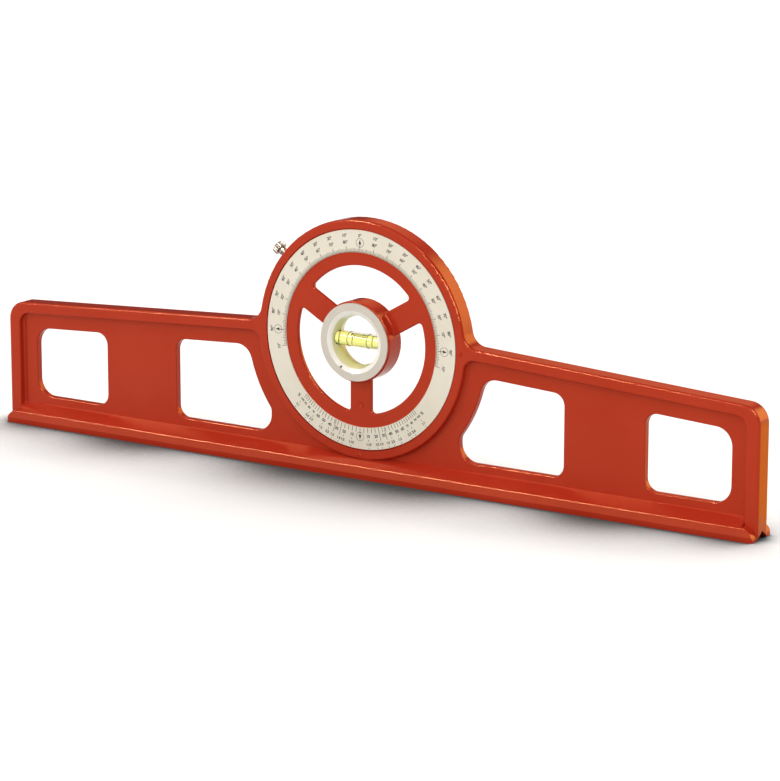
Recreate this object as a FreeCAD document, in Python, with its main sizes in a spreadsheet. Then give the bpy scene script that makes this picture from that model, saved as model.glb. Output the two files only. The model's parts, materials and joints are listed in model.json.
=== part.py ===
import FreeCAD, Part
import math
import os
import Sketcher

Vector = FreeCAD.Vector
Placement = FreeCAD.Placement
Rotation = FreeCAD.Rotation

# Slope level: a cast frame with a grooved foot and a ring in the middle, in which a graduated
# wheel turns and carries a vial. X runs along the level, the scale faces -Y, Z is up, and the
# origin is at the middle of the foot's underside. All sizes are in millimetres.

doc = FreeCAD.newDocument("slopeLevel")
sheet = doc.addObject("Spreadsheet::Sheet", "sizes")

rows = [
    ("frameLength", 600.0, "overall length of the casting"),
    ("armEndHeight", 87.0, "height of the arms at their outer ends"),
    ("armPeakHeight", 103.8, "height where the two sloping arm tops would meet"),
    ("bodyThick", 14.4, "thickness of the raised border and of the ring"),
    ("webThick", 5.4, "thickness of the recessed web"),
    ("topBorder", 7.8, "raised border along the arm tops, measured upright"),
    ("endBorder", 9.5, "raised border at the outer ends"),
    ("armCorner", 13.0, "radius of the arms' outer top corners"),
    ("recessCorner", 8.0, "radius of the recess under each outer top corner"),
    ("recessTip", 8.0, "radius of the recess where it runs out between arm top and ring"),
    ("ringBlend", 11.0, "hollow radius where an arm top runs into the ring"),
    ("edgeRound", 1.8, "rounding of the casting's outer edges"),
    ("floorRound", 1.6, "rounding between the border walls and the web"),
    ("mouthRound", 1.0, "rounding of the recess's edges, front and back"),
    ("footWidth", 27.0, "width of the foot"),
    ("footLip", 3.5, "upright edge of the foot"),
    ("footShoulderWidth", 24.0, "width of the foot at the ridge where its sloping top begins"),
    ("footShoulderHeight", 8.4, "height of that ridge"),
    ("footRidge", 1.0, "rounding of that ridge"),
    ("footTopHeight", 14.4, "height where the foot's flank meets the web"),
    ("footEndRound", 9.0, "rounding of the foot's top at its ends, seen from the front"),
    ("footEndInset", 0.5, "foot's ends inside the ends of the arms"),
    ("footCorner", 2.0, "rounding of the foot's corners at its ends"),
    ("grooveWidth", 16.0, "mouth of the V groove under the foot"),
    ("grooveDepth", 5.8, "depth of the V groove"),
    ("dialHeight", 94.5, "height of the wheel's axis above the underside"),
    ("ringRadius", 82.0, "outer radius of the ring"),
    ("recessRadius", 76.0, "front recess that the wheel lies in"),
    ("lipRadius", 70.0, "bore of the lip that carries the wheel's journal"),
    ("lipBack", 3.6, "depth of the lip's rear face below the back of the ring"),
    ("rearRadius", 74.0, "rear recess for the retaining ring"),
    ("windowFloor", 20.1, "height of the windows' lower edges"),
    ("windowDrop", 19.0, "web and border above each window, measured upright"),
    ("windowMargin", 12.1, "web left beside a window next to the end border"),
    ("apronWidth", 13.3, "web left beside a window next to the ring"),
    ("windowSide", 16.5, "inner window, its upright side under the ring"),
    ("innerWindowEnd", 155.7, "inner window, outer side"),
    ("outerWindowStart", 216.0, "outer window, inner side"),
    ("windowCorner", 8.4, "corner radius of the windows at the pillar between them"),
    ("wideCorner", 12.2, "their corner radius next to the ring and the end border"),
    ("windowBend", 6.0, "radius where the upright side turns into the bow round the ring"),
    ("windowRound", 0.8, "rounding of the windows' edges, front and back"),
    ("discRadius", 75.7, "outer radius of the wheel"),
    ("discThick", 3.5, "thickness of the wheel's disc"),
    ("discInset", 0.8, "wheel's face below the front of the ring"),
    ("spokeCount", 3.0, "spokes of the wheel"),
    ("spokeWidth", 16.8, "width of a spoke"),
    ("openingRadius", 50.8, "outer radius of the wheel's openings"),
    ("openingRound", 1.0, "rounding of their edges, front and back"),
    ("openingCorner", 2.5, "corner radius of the wheel's openings"),
    ("spokeRootRound", 1.5, "hollow radius where a spoke meets the hub"),
    ("hubRadius", 27.7, "outer radius of the hub"),
    ("hubBore", 23.5, "bore of the hub, which holds the vial unit"),
    ("hubWidth", 14.8, "width of the hub along its axis"),
    ("hubShift", 1.4, "middle of the hub in front of the disc's middle"),
    ("hubRound", 0.8, "rounding of the hub's outer edges"),
    ("journalInner", 61.0, "inner radius of the journal and of the retaining ring"),
    ("journalClearance", 0.05, "radial running clearance of the journal in the lip"),
    ("endPlay", 0.3, "play between the retaining ring and the lip"),
    ("glideThick", 0.5, "thickness of the glide ring between the wheel and the lip"),
    ("glideInset", 0.6, "glide ring's edges inside the lip's face"),
    ("scaleThick", 0.6, "thickness of the graduated scale ring"),
    ("scaleOuter", 75.1, "outer radius of the scale ring"),
    ("scaleInner", 60.0, "inner radius of the scale ring"),
    ("retainerThick", 2.2, "thickness of the retaining ring"),
    ("retainerInset", 0.5, "retaining ring's edge inside the rear recess"),
    ("screwCount", 4.0, "screws of the retaining ring"),
    ("screwCircle", 65.5, "radius of their circle"),
    ("screwHeadRadius", 2.7, "head radius of those screws"),
    ("screwHeadHeight", 0.9, "height of their flat heads"),
    ("screwShankRadius", 1.45, "their shank radius"),
    ("screwShankLength", 6.0, "their shank length"),
    ("seatClearance", 0.05, "clearance of a fixed piece in its seat"),
    ("clampAngle", 142.0, "direction of the clamp screw, turned up from +X"),
    ("clampRadius", 1.95, "shank radius of the clamp screw"),
    ("clampClearance", 0.05, "radial clearance of the clamp screw and of its pad"),
    ("clampNeck", 5.4, "clamp screw between the ring and its head"),
    ("clampHeadRadius", 4.8, "radius of its knurled head"),
    ("clampHeadHeight", 3.8, "height of that head"),
    ("clampHeadBevel", 0.8, "bevel round the head's outer end"),
    ("knurlCount", 24.0, "grooves of the knurl"),
    ("knurlDepth", 0.35, "depth of one knurl groove"),
    ("padGap", 0.35, "pad's gap to the journal when the clamp is open"),
    ("padThick", 1.6, "thickness of the clamp pad"),
    ("padStubRadius", 0.9, "radius of the pad's stub in the screw's tip"),
    ("padStubLength", 1.5, "length of that stub"),
    ("bezelRadius", 26.6, "flange radius of the vial unit"),
    ("bezelFlange", 1.35, "flange thickness of the vial unit"),
    ("bezelMouth", 21.5, "radius of the bevelled mouth"),
    ("bezelBevel", 1.5, "depth of that bevel"),
    ("bezelInner", 18.5, "inner radius behind the bevel"),
    ("bezelWaist", 16.7, "inner radius at the vial unit's middle"),
    ("pinAngle", 240.0, "direction of the pin that joins the two halves"),
    ("pinCircle", 20.9, "distance of that pin from the axis"),
    ("pinRadius", 0.9, "radius of the pin"),
    ("vialRadius", 5.2, "outer radius of the vial"),
    ("vialWall", 1.0, "wall of the vial"),
    ("vialLength", 42.0, "length of the vial"),
    ("vialSeat", 0.1, "clearance of the vial in its seat"),
    ("plugLength", 3.0, "length of the plug at each end of the vial"),
    ("lineGap", 15.4, "distance between the vial's two lines"),
    ("lineWidth", 0.5, "width of a line"),
    ("lineThick", 0.08, "thickness of a line"),
    ("bubbleLength", 13.4, "length of the bubble"),
    ("bubbleRadius", 1.25, "radius of the bubble"),
    ("bubbleClearance", 0.2, "bubble's distance to the vial and to the liquid"),
    ("bubbleTravel", 10.5, "way of the bubble to either side"),
]

for number, (alias, value, note) in enumerate(rows, start=1):
    sheet.set(f"A{number}", note)
    sheet.set(f"B{number}", str(value))
    sheet.setAlias(f"B{number}", alias)
doc.recompute()


# A Size knows its number and the spreadsheet expression that gives it, so the same formula
# places the first geometry and then drives it.
class Size:
    def __init__(self, value, text):
        self.value = value
        self.text = text

    def __add__(self, other):
        other = asSize(other)
        return Size(self.value + other.value, f"({self.text} + {other.text})")

    def __sub__(self, other):
        other = asSize(other)
        return Size(self.value - other.value, f"({self.text} - {other.text})")

    def __mul__(self, other):
        other = asSize(other)
        return Size(self.value * other.value, f"({self.text} * {other.text})")

    def __truediv__(self, other):
        other = asSize(other)
        return Size(self.value / other.value, f"({self.text} / {other.text})")

    def __radd__(self, other):
        return asSize(other) + self

    def __rsub__(self, other):
        return asSize(other) - self

    def __rmul__(self, other):
        return asSize(other) * self

    def __rtruediv__(self, other):
        return asSize(other) / self

    def __neg__(self):
        return Size(-self.value, f"(0 - {self.text})")


def asSize(thing):
    if isinstance(thing, Size):
        return thing
    return Size(float(thing), f"{float(thing)}")


def cell(alias):
    return Size(float(sheet.get(alias)), f"sizes.{alias}")


def rootOf(size):
    return Size(math.sqrt(size.value), f"sqrt({size.text})")


def sineOf(size):
    return Size(math.sin(math.radians(size.value)), f"sin({size.text})")


def cosineOf(size):
    return Size(math.cos(math.radians(size.value)), f"cos({size.text})")


size = {alias: cell(alias) for alias, value, note in rows}

half = size["frameLength"] / 2
armSlope = (size["armPeakHeight"] - size["armEndHeight"]) / half
frontFace = -size["bodyThick"] / 2
backFace = size["bodyThick"] / 2
lipBackFace = backFace - size["lipBack"]
discFront = frontFace + size["discInset"]
discBack = discFront + size["discThick"]
lipFrontFace = discBack + size["glideThick"]
lipMiddle = (lipFrontFace + lipBackFace) / 2
discMiddle = (discFront + discBack) / 2
hubMiddle = discMiddle - size["hubShift"]
hubFront = hubMiddle - size["hubWidth"] / 2
hubBack = hubMiddle + size["hubWidth"] / 2
journalRadius = size["lipRadius"] - size["journalClearance"]
journalEnd = lipBackFace + size["endPlay"]
retainerBack = journalEnd + size["retainerThick"]
vialBore = size["vialRadius"] - size["vialWall"]


def armTop(x):
    return size["armPeakHeight"] - armSlope * x


def addBody(label, height=None):
    body = doc.addObject("PartDesign::Body", label)
    body.Label = label
    if height is not None:
        body.Placement = Placement(Vector(0, 0, height.value), Rotation())
        body.setExpression("Placement.Base.z", height.text)
    return body


def originPart(body, role):
    for feature in body.Origin.OriginFeatures:
        if feature.Role == role:
            return feature
    raise ValueError(role)


def addSketch(body, name, role, offset=None):
    sketch = body.newObject("Sketcher::SketchObject", name)
    sketch.AttachmentSupport = (originPart(body, role), [""])
    sketch.MapMode = "FlatFace"
    if offset is not None:
        sketch.AttachmentOffset = Placement(Vector(0, 0, offset.value), Rotation())
        sketch.setExpression("AttachmentOffset.Base.z", offset.text)
    return sketch


def bindConstraint(sketch, constraint, text):
    index = sketch.addConstraint(constraint)
    sketch.setExpression(f"Constraints[{index}]", text)


def fixPoint(sketch, geometry, vertex, point):
    for kind, axis, measure in (("DistanceX", -2, point[0]), ("DistanceY", -1, point[1])):
        if measure.value == 0:
            sketch.addConstraint(Sketcher.Constraint("PointOnObject", geometry, vertex, axis))
        else:
            constraint = Sketcher.Constraint(kind, -1, 1, geometry, vertex, measure.value)
            bindConstraint(sketch, constraint, measure.text)


# A closed loop through points, each a pair of sizes. arcs names the sides that are bent:
# side number: (radius, centre), with the centre as a pair of sizes.
def addLoop(sketch, points, arcs=None):
    arcs = arcs or {}
    points = [(asSize(x), asSize(y)) for x, y in points]
    count = len(points)
    ends = []
    for side in range(count):
        start = Vector(points[side][0].value, points[side][1].value, 0)
        stop = Vector(points[(side + 1) % count][0].value, points[(side + 1) % count][1].value, 0)
        if side not in arcs:
            geometry = sketch.addGeometry(Part.LineSegment(start, stop), False)
            ends.append((geometry, 1, 2))
            continue
        radius, centre = arcs[side]
        middle = Vector(asSize(centre[0]).value, asSize(centre[1]).value, 0)
        first = math.atan2(start.y - middle.y, start.x - middle.x)
        last = math.atan2(stop.y - middle.y, stop.x - middle.x)
        sweep = (last - first) % (2 * math.pi)
        forward = sweep < math.pi
        if not forward:
            first, last = last, first
        circle = Part.Circle(middle, Vector(0, 0, 1), radius.value)
        geometry = sketch.addGeometry(Part.ArcOfCircle(circle, first, last), False)
        ends.append((geometry, 1, 2) if forward else (geometry, 2, 1))
    for side in range(count):
        geometry, begin, end = ends[side]
        following = ends[(side + 1) % count]
        joint = Sketcher.Constraint("Coincident", geometry, end, following[0], following[1])
        sketch.addConstraint(joint)
    for side in range(count):
        geometry, begin, end = ends[side]
        fixPoint(sketch, geometry, begin, points[side])
        if side in arcs:
            radius = arcs[side][0]
            bindConstraint(sketch, Sketcher.Constraint("Radius", geometry, radius.value), radius.text)


def addCircle(sketch, radius, x=0, y=0):
    x = asSize(x)
    y = asSize(y)
    circle = Part.Circle(Vector(x.value, y.value, 0), Vector(0, 0, 1), radius.value)
    geometry = sketch.addGeometry(circle, False)
    fixPoint(sketch, geometry, 3, (x, y))
    bindConstraint(sketch, Sketcher.Constraint("Radius", geometry, radius.value), radius.text)


def finishFeature(feature):
    doc.recompute()
    if "Invalid" in feature.State or "Error" in feature.State or feature.Shape.isNull():
        raise ValueError(f"{feature.Name} failed")
    return feature


def addPad(body, name, sketch, thickness):
    pad = body.newObject("PartDesign::Pad", name)
    pad.Profile = sketch
    pad.SideType = "Symmetric"
    pad.setExpression("Length", thickness.text)
    return finishFeature(pad)


def addPocket(body, name, sketch, depth=None, towardsNormal=False, bothWays=False):
    before = body.Shape.Volume
    pocket = body.newObject("PartDesign::Pocket", name)
    pocket.Profile = sketch
    pocket.Reversed = towardsNormal
    if bothWays or depth is None:
        pocket.SideType = "Symmetric"
    if depth is None:
        pocket.Type = "ThroughAll"
    else:
        pocket.setExpression("Length", depth.text)
    finishFeature(pocket)
    if body.Shape.Volume >= before:
        raise ValueError(f"{name} removed nothing")
    return pocket


def addRevolution(body, name, points, arcs=None):
    sketch = addSketch(body, f"{name}Profile", "YZ_Plane")
    addLoop(sketch, points, arcs)
    turned = body.newObject("PartDesign::Revolution", name)
    turned.Profile = sketch
    turned.ReferenceAxis = (sketch, ["H_Axis"])
    turned.Angle = 360
    return finishFeature(turned)


def turnedBody(label, points, height):
    body = addBody(label, height)
    addRevolution(body, f"{label}Turn", points)
    return body


def ringPoints(inner, outer, front, back):
    return [(front, inner), (front, outer), (back, outer), (back, inner)]


# names of the edges of a feature whose middle passes the test
def edgesWhere(feature, test):
    names = []
    for number, edge in enumerate(feature.Shape.Edges, start=1):
        middle = edge.valueAt((edge.FirstParameter + edge.LastParameter) / 2)
        if test(edge, middle):
            names.append(f"Edge{number}")
    if not names:
        raise ValueError(f"no such edge on {feature.Name}")
    return names


def isAlong(edge, direction):
    if edge.Curve.TypeId != "Part::GeomLine":
        return False
    return abs(edge.Curve.Direction.dot(direction)) > 0.9999


def addFillet(body, name, base, edges, radius):
    fillet = body.newObject("PartDesign::Fillet", name)
    fillet.Base = (base, edges)
    fillet.setExpression("Radius", radius.text)
    return finishFeature(fillet)


def near(value, target):
    return abs(value - target) < 0.01


along = {"X": Vector(1, 0, 0), "Y": Vector(0, 1, 0), "Z": Vector(0, 0, 1)}


def mirroredLoop(points, arcs=None):
    turned = [(-x, y) for x, y in points]
    bent = {side: (radius, (-centre[0], centre[1])) for side, (radius, centre) in (arcs or {}).items()}
    return turned, bent


# the foot is a body of its own, which is fused into the frame
def makeFoot():
    body = addBody("footCasting")
    footHalf = size["footWidth"] / 2
    shoulderHalf = size["footShoulderWidth"] / 2
    webHalf = size["webThick"] / 2
    end = half - size["footEndInset"]
    profile = addSketch(body, "footProfile", "YZ_Plane")
    addLoop(profile, [
        (-footHalf, 0),
        (footHalf, 0),
        (footHalf, size["footLip"]),
        (shoulderHalf, size["footShoulderHeight"]),
        (webHalf, size["footTopHeight"]),
        (-webHalf, size["footTopHeight"]),
        (-shoulderHalf, size["footShoulderHeight"]),
        (-footHalf, size["footLip"]),
    ])
    bar = addPad(body, "footBar", profile, 2 * end)
    ridgeHeight = size["footShoulderHeight"].value

    def atRidge(edge, middle):
        return isAlong(edge, along["X"]) and near(middle.z, ridgeHeight)

    addFillet(body, "footRidges", bar, edgesWhere(bar, atRidge), size["footRidge"])
    bend = size["footCorner"]
    plan = addSketch(body, "footPlan", "XY_Plane")
    for xSide, ySide in ((1, 1), (1, -1), (-1, 1), (-1, -1)):
        addLoop(plan, [
            (xSide * end, ySide * (footHalf - bend)),
            (xSide * (end - bend), ySide * footHalf),
            (xSide * (end - bend), ySide * (footHalf + 1)),
            (xSide * (end + 1), ySide * (footHalf + 1)),
            (xSide * (end + 1), ySide * (footHalf - bend)),
        ], {0: (bend, (xSide * (end - bend), ySide * (footHalf - bend)))})
    addPocket(body, "footCorners", plan)
    rounding = size["footEndRound"]
    above = size["footTopHeight"] + 1
    outline = addSketch(body, "footEndOutline", "XZ_Plane")
    corner = [
        (end, 0),
        (end - rounding, rounding),
        (end - rounding, above),
        (end + 1, above),
        (end + 1, 0),
    ]
    curve = {0: (rounding, (end - rounding, asSize(0)))}
    addLoop(outline, corner, curve)
    addLoop(outline, *mirroredLoop(corner, curve))
    addPocket(body, "footEnds", outline)
    return body


def makeFrame():
    body = addBody("frame")
    shoulder = size["footShoulderHeight"]
    web = addSketch(body, "webOutline", "XZ_Plane")
    addLoop(web, [
        (-half, shoulder),
        (half, shoulder),
        (half, size["armEndHeight"]),
        (0, size["armPeakHeight"]),
        (-half, size["armEndHeight"]),
    ])
    addPad(body, "web", web, size["webThick"])

    windows = addSketch(body, "windowOutlines", "XZ_Plane")
    apron = size["ringRadius"] + size["apronWidth"]
    outerEnd = half - size["endBorder"] - size["windowMargin"]
    windowPeak = size["armPeakHeight"] - size["windowDrop"]
    rise = windowPeak - size["dialHeight"]
    slopeTerm = 1 + armSlope * armSlope
    crossing = armSlope * rise * (armSlope * rise) - slopeTerm * (rise * rise - apron * apron)
    topX = (armSlope * rise + rootOf(crossing)) / slopeTerm
    startZ = size["windowFloor"] + size["windowSide"]
    startFall = size["dialHeight"] - startZ
    startX = rootOf(apron * apron - startFall * startFall)
    inner = [
        (startX, size["windowFloor"]),
        (size["innerWindowEnd"], size["windowFloor"]),
        (size["innerWindowEnd"], armTop(size["innerWindowEnd"]) - size["windowDrop"]),
        (topX, armTop(topX) - size["windowDrop"]),
        (startX, startZ),
    ]
    bends = {3: (apron, (asSize(0), size["dialHeight"]))}
    outer = [
        (size["outerWindowStart"], size["windowFloor"]),
        (outerEnd, size["windowFloor"]),
        (outerEnd, armTop(outerEnd) - size["windowDrop"]),
        (size["outerWindowStart"], armTop(size["outerWindowStart"]) - size["windowDrop"]),
    ]
    for loop, loopBends in ((inner, bends), (outer, {})):
        addLoop(windows, loop, loopBends)
        addLoop(windows, *mirroredLoop(loop, loopBends))
    cut = addPocket(body, "windows", windows)

    for name, corners, radius in (
        ("pillarCorners", [inner[1], inner[2], outer[0], outer[3]], size["windowCorner"]),
        ("wideCorners", [inner[0], inner[3], outer[1], outer[2]], size["wideCorner"]),
        ("windowBends", [inner[4]], size["windowBend"]),
    ):
        places = [(x.value, z.value) for x, z in corners]

        def atCorner(edge, middle):
            return isAlong(edge, along["Y"]) and any(
                near(abs(middle.x), x) and near(middle.z, z) for x, z in places
            )

        cut = addFillet(body, name, cut, edgesWhere(cut, atCorner), radius)

    webFace = size["webThick"] / 2

    def atWindowEdge(edge, middle):
        inside = abs(middle.x) < outerEnd.value + 1 and middle.z > size["windowFloor"].value - 1
        return near(abs(middle.y), webFace.value) and inside and not isAlong(edge, along["Y"]) and (
            middle.z < armTop(asSize(abs(middle.x))).value - size["windowDrop"].value + 1
        )

    addFillet(body, "windowEdges", cut, edgesWhere(cut, atWindowEdge), size["windowRound"])

    recessEnd = half - size["endBorder"]
    border = addSketch(body, "borderOutline", "XZ_Plane")
    addLoop(border, [
        (-half, 0),
        (-half, size["armEndHeight"]),
        (0, size["armPeakHeight"]),
        (half, size["armEndHeight"]),
        (half, 0),
        (recessEnd, 0),
        (recessEnd, armTop(recessEnd) - size["topBorder"]),
        (0, size["armPeakHeight"] - size["topBorder"]),
        (-recessEnd, armTop(recessEnd) - size["topBorder"]),
        (-recessEnd, 0),
    ])
    borderPad = addPad(body, "border", border, size["bodyThick"])

    def atArmCorner(edge, middle):
        return isAlong(edge, along["Y"]) and near(abs(middle.x), half.value) and middle.z > shoulder.value + 1

    rounded = addFillet(body, "armCorners", borderPad, edgesWhere(borderPad, atArmCorner), size["armCorner"])
    recessTop = (armTop(recessEnd) - size["topBorder"]).value

    def atRecessCorner(edge, middle):
        return isAlong(edge, along["Y"]) and near(abs(middle.x), recessEnd.value) and near(middle.z, recessTop)

    addFillet(body, "recessCorners", rounded, edgesWhere(rounded, atRecessCorner), size["recessCorner"])

    ring = addSketch(body, "ringOutline", "XZ_Plane")
    addCircle(ring, size["ringRadius"], 0, size["dialHeight"])
    ringPad = addPad(body, "ring", ring, size["bodyThick"])
    ringTop = size["dialHeight"].value

    def atRingJoin(edge, middle):
        distance = math.hypot(middle.x, middle.z - ringTop)
        return (
            isAlong(edge, along["Y"])
            and near(distance, size["ringRadius"].value)
            and near(middle.z, size["armPeakHeight"].value - armSlope.value * abs(middle.x))
        )

    blended = addFillet(body, "ringBlends", ringPad, edgesWhere(ringPad, atRingJoin), size["ringBlend"])

    def atOuterEdge(edge, middle):
        if not near(abs(middle.y), backFace.value) or isAlong(edge, along["Y"]):
            return False
        roof = size["armPeakHeight"].value - armSlope.value * abs(middle.x)
        distance = math.hypot(middle.x, middle.z - ringTop)
        outside = middle.z > roof - size["armCorner"].value * 0.31 or near(abs(middle.x), half.value)
        return outside and distance > size["ringRadius"].value - 0.01

    edged = addFillet(body, "outerEdges", blended, edgesWhere(blended, atOuterEdge), size["edgeRound"])

    roofPeak = (size["armPeakHeight"] - size["topBorder"]).value

    def onRing(middle):
        return near(math.hypot(middle.x, middle.z - ringTop), size["ringRadius"].value)

    def onRoof(middle):
        return near(middle.z, roofPeak - armSlope.value * abs(middle.x))

    def atRecessTip(edge, middle):
        return isAlong(edge, along["Y"]) and onRing(middle) and onRoof(middle)

    tipped = addFillet(body, "recessTips", edged, edgesWhere(edged, atRecessTip), size["recessTip"])
    cornerReach = recessEnd.value - size["recessCorner"].value * 0.4
    tipReach = size["ringRadius"].value + size["recessTip"].value

    def atRecessWall(edge, middle, face):
        if isAlong(edge, along["Y"]) or not near(abs(middle.y), face.value):
            return False
        distance = math.hypot(middle.x, middle.z - ringTop)
        inTip = distance < tipReach and middle.z > roofPeak - armSlope.value * abs(middle.x) - 3
        inPost = cornerReach < abs(middle.x) < recessEnd.value + 0.01
        outside = distance > size["ringRadius"].value - 0.01
        underRoof = middle.z < roofPeak - armSlope.value * abs(middle.x) + 0.01
        return outside and underRoof and (onRing(middle) or onRoof(middle) or inTip or inPost)

    def atMouth(edge, middle):
        return atRecessWall(edge, middle, backFace)

    def atWebFloor(edge, middle):
        return atRecessWall(edge, middle, webFace)

    opened = addFillet(body, "recessMouth", tipped, edgesWhere(tipped, atMouth), size["mouthRound"])
    addFillet(body, "webFloor", opened, edgesWhere(opened, atWebFloor), size["floorRound"])

    join = body.newObject("PartDesign::Boolean", "footJoin")
    join.Type = "Fuse"
    join.setObjects([makeFoot()])
    finishFeature(join)
    groove = addSketch(body, "grooveProfile", "YZ_Plane")
    grooveHalf = size["grooveWidth"] / 2
    addLoop(groove, [(-grooveHalf, 0), (0, size["grooveDepth"]), (grooveHalf, 0)])
    addPocket(body, "groove", groove)

    bore = addSketch(body, "boreOutline", "XZ_Plane")
    addCircle(bore, size["lipRadius"], 0, size["dialHeight"])
    addPocket(body, "bore", bore)
    recess = addSketch(body, "recessOutline", "XZ_Plane", backFace)
    addCircle(recess, size["recessRadius"], 0, size["dialHeight"])
    addPocket(body, "recess", recess, lipFrontFace - frontFace)
    rear = addSketch(body, "rearOutline", "XZ_Plane", frontFace)
    addCircle(rear, size["rearRadius"], 0, size["dialHeight"])
    addPocket(body, "rearRecess", rear, size["lipBack"], True)

    hole = addSketch(body, "clampOutline", "XY_Plane")
    start = size["ringRadius"] + 2
    angle = size["clampAngle"]
    lean = Rotation(Vector(0, 0, 1), Vector(cosineOf(angle).value, 0, sineOf(angle).value))
    mouthX = start * cosineOf(angle)
    mouthZ = size["dialHeight"] + start * sineOf(angle)
    hole.AttachmentOffset = Placement(Vector(mouthX.value, lipMiddle.value, mouthZ.value), lean)
    addCircle(hole, size["clampRadius"] + size["clampClearance"])
    addPocket(body, "clampHole", hole, start - size["lipRadius"] + 2)
    return body


def addPolar(body, name, originals, count):
    pattern = body.newObject("PartDesign::PolarPattern", name)
    pattern.Originals = originals
    pattern.Axis = (originPart(body, "Y_Axis"), [""])
    pattern.Angle = 360
    pattern.setExpression("Occurrences", count.text)
    body.Tip = pattern
    return finishFeature(pattern)


def makeWheel():
    body = addBody("dial_wheel", size["dialHeight"])
    addRevolution(body, "discAndJournal", [
        (discFront, size["hubBore"]),
        (discFront, size["discRadius"]),
        (discBack, size["discRadius"]),
        (discBack, journalRadius),
        (journalEnd, journalRadius),
        (journalEnd, size["journalInner"]),
        (discBack, size["journalInner"]),
        (discBack, size["hubBore"]),
    ])
    opening = addSketch(body, "openingOutline", "XZ_Plane")
    spokeAngle = 90 - 180 / size["spokeCount"]
    sideways = size["spokeWidth"] / 2

    def onSpokeSide(radius):
        reach = rootOf(radius * radius - sideways * sideways)
        return (
            reach * cosineOf(spokeAngle) - sideways * sineOf(spokeAngle),
            reach * sineOf(spokeAngle) + sideways * cosineOf(spokeAngle),
        )

    outerX, outerZ = onSpokeSide(size["openingRadius"])
    innerX, innerZ = onSpokeSide((size["hubBore"] + size["hubRadius"]) / 2)
    points = [(outerX, outerZ), (-outerX, outerZ), (-innerX, innerZ), (innerX, innerZ)]
    addLoop(opening, points, {0: (size["openingRadius"], (asSize(0), asSize(0)))})
    pocket = addPocket(body, "opening", opening)
    openings = addPolar(body, "openings", [pocket], size["spokeCount"])

    def radiusOf(point):
        return math.hypot(point.x, point.z)

    def atOpeningCorner(edge, middle):
        return isAlong(edge, along["Y"]) and near(radiusOf(middle), size["openingRadius"].value)

    cornered = addFillet(
        body, "openingCorners", openings, edgesWhere(openings, atOpeningCorner), size["openingCorner"]
    )

    def atOpeningEdge(edge, middle):
        onFace = near(middle.y, discFront.value) or near(middle.y, discBack.value)
        return onFace and size["hubBore"].value + 0.5 < radiusOf(middle) < size["openingRadius"].value + 0.01

    addFillet(body, "openingEdges", cornered, edgesWhere(cornered, atOpeningEdge), size["openingRound"])
    hub = addRevolution(
        body, "hub", ringPoints(size["hubBore"], size["hubRadius"], hubFront, hubBack)
    )

    def atSpokeRoot(edge, middle):
        return isAlong(edge, along["Y"]) and near(radiusOf(middle), size["hubRadius"].value)

    rooted = addFillet(body, "spokeRoots", hub, edgesWhere(hub, atSpokeRoot), size["spokeRootRound"])

    def atHubEdge(edge, middle):
        onFace = near(middle.y, hubFront.value) or near(middle.y, hubBack.value)
        return onFace and near(radiusOf(edge.Vertexes[0].Point), size["hubRadius"].value)

    addFillet(body, "hubEdges", rooted, edgesWhere(rooted, atHubEdge), size["hubRound"])
    screwHole = addSketch(body, "screwHoleOutline", "XZ_Plane", -journalEnd)
    addCircle(screwHole, size["screwShankRadius"] + size["seatClearance"], size["screwCircle"], 0)
    hole = addPocket(body, "screwHole", screwHole, size["screwShankLength"] - size["retainerThick"] + 0.4, True)
    addPolar(body, "screwHoles", [hole], size["screwCount"])
    return body


def makeRetainingRing():
    outer = size["rearRadius"] - size["retainerInset"]
    body = turnedBody(
        "retaining_ring",
        ringPoints(size["journalInner"], outer, journalEnd, retainerBack),
        size["dialHeight"],
    )
    outline = addSketch(body, "ringHoleOutline", "XZ_Plane")
    addCircle(outline, size["screwShankRadius"] + size["seatClearance"], size["screwCircle"], 0)
    hole = addPocket(body, "ringHole", outline)
    addPolar(body, "ringHoles", [hole], size["screwCount"])
    return body


def addCylinder(name, radius, height, base, rotation):
    cylinder = doc.addObject("Part::Cylinder", name)
    cylinder.setExpression("Radius", radius.text)
    cylinder.setExpression("Height", height.text)
    cylinder.Placement = Placement(Vector(*[asSize(part).value for part in base]), rotation)
    for axis, part in zip("xyz", base):
        cylinder.setExpression(f"Placement.Base.{axis}", asSize(part).text)
    return cylinder


toBack = Rotation(Vector(0, 0, 1), Vector(0, 1, 0))
toFront = Rotation(Vector(0, 0, 1), Vector(0, -1, 0))
toRight = Rotation(Vector(0, 0, 1), Vector(1, 0, 0))


def makeRetainingScrews():
    screws = []
    count = int(size["screwCount"].value)
    for number in range(count):
        angle = 360 * number / size["screwCount"]
        x = size["screwCircle"] * cosineOf(angle)
        z = size["dialHeight"] + size["screwCircle"] * sineOf(angle)
        shank = addCylinder(
            f"screwShank{number}",
            size["screwShankRadius"],
            size["screwShankLength"],
            (x, retainerBack, z),
            toFront,
        )
        head = addCylinder(
            f"screwHead{number}",
            size["screwHeadRadius"],
            size["screwHeadHeight"],
            (x, retainerBack, z),
            toBack,
        )
        screw = doc.addObject("Part::Fuse", f"retainingScrew{number}")
        screw.Base = shank
        screw.Tool = head
        screws.append(screw)
    group = doc.addObject("Part::Compound", "retaining_screws")
    group.Links = screws
    return group


padFront = journalRadius + size["padGap"]
padBack = padFront + size["padThick"]
clampSeat = size["ringRadius"] + size["clampNeck"]
clampEnd = clampSeat + size["clampHeadHeight"]


def placeOnClampAxis(body):
    angle = size["clampAngle"]
    direction = Vector(cosineOf(angle).value, 0, sineOf(angle).value)
    centre = Vector(0, lipMiddle.value, size["dialHeight"].value)
    body.Placement = Placement(centre, Rotation(Vector(0, 1, 0), direction))


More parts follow.
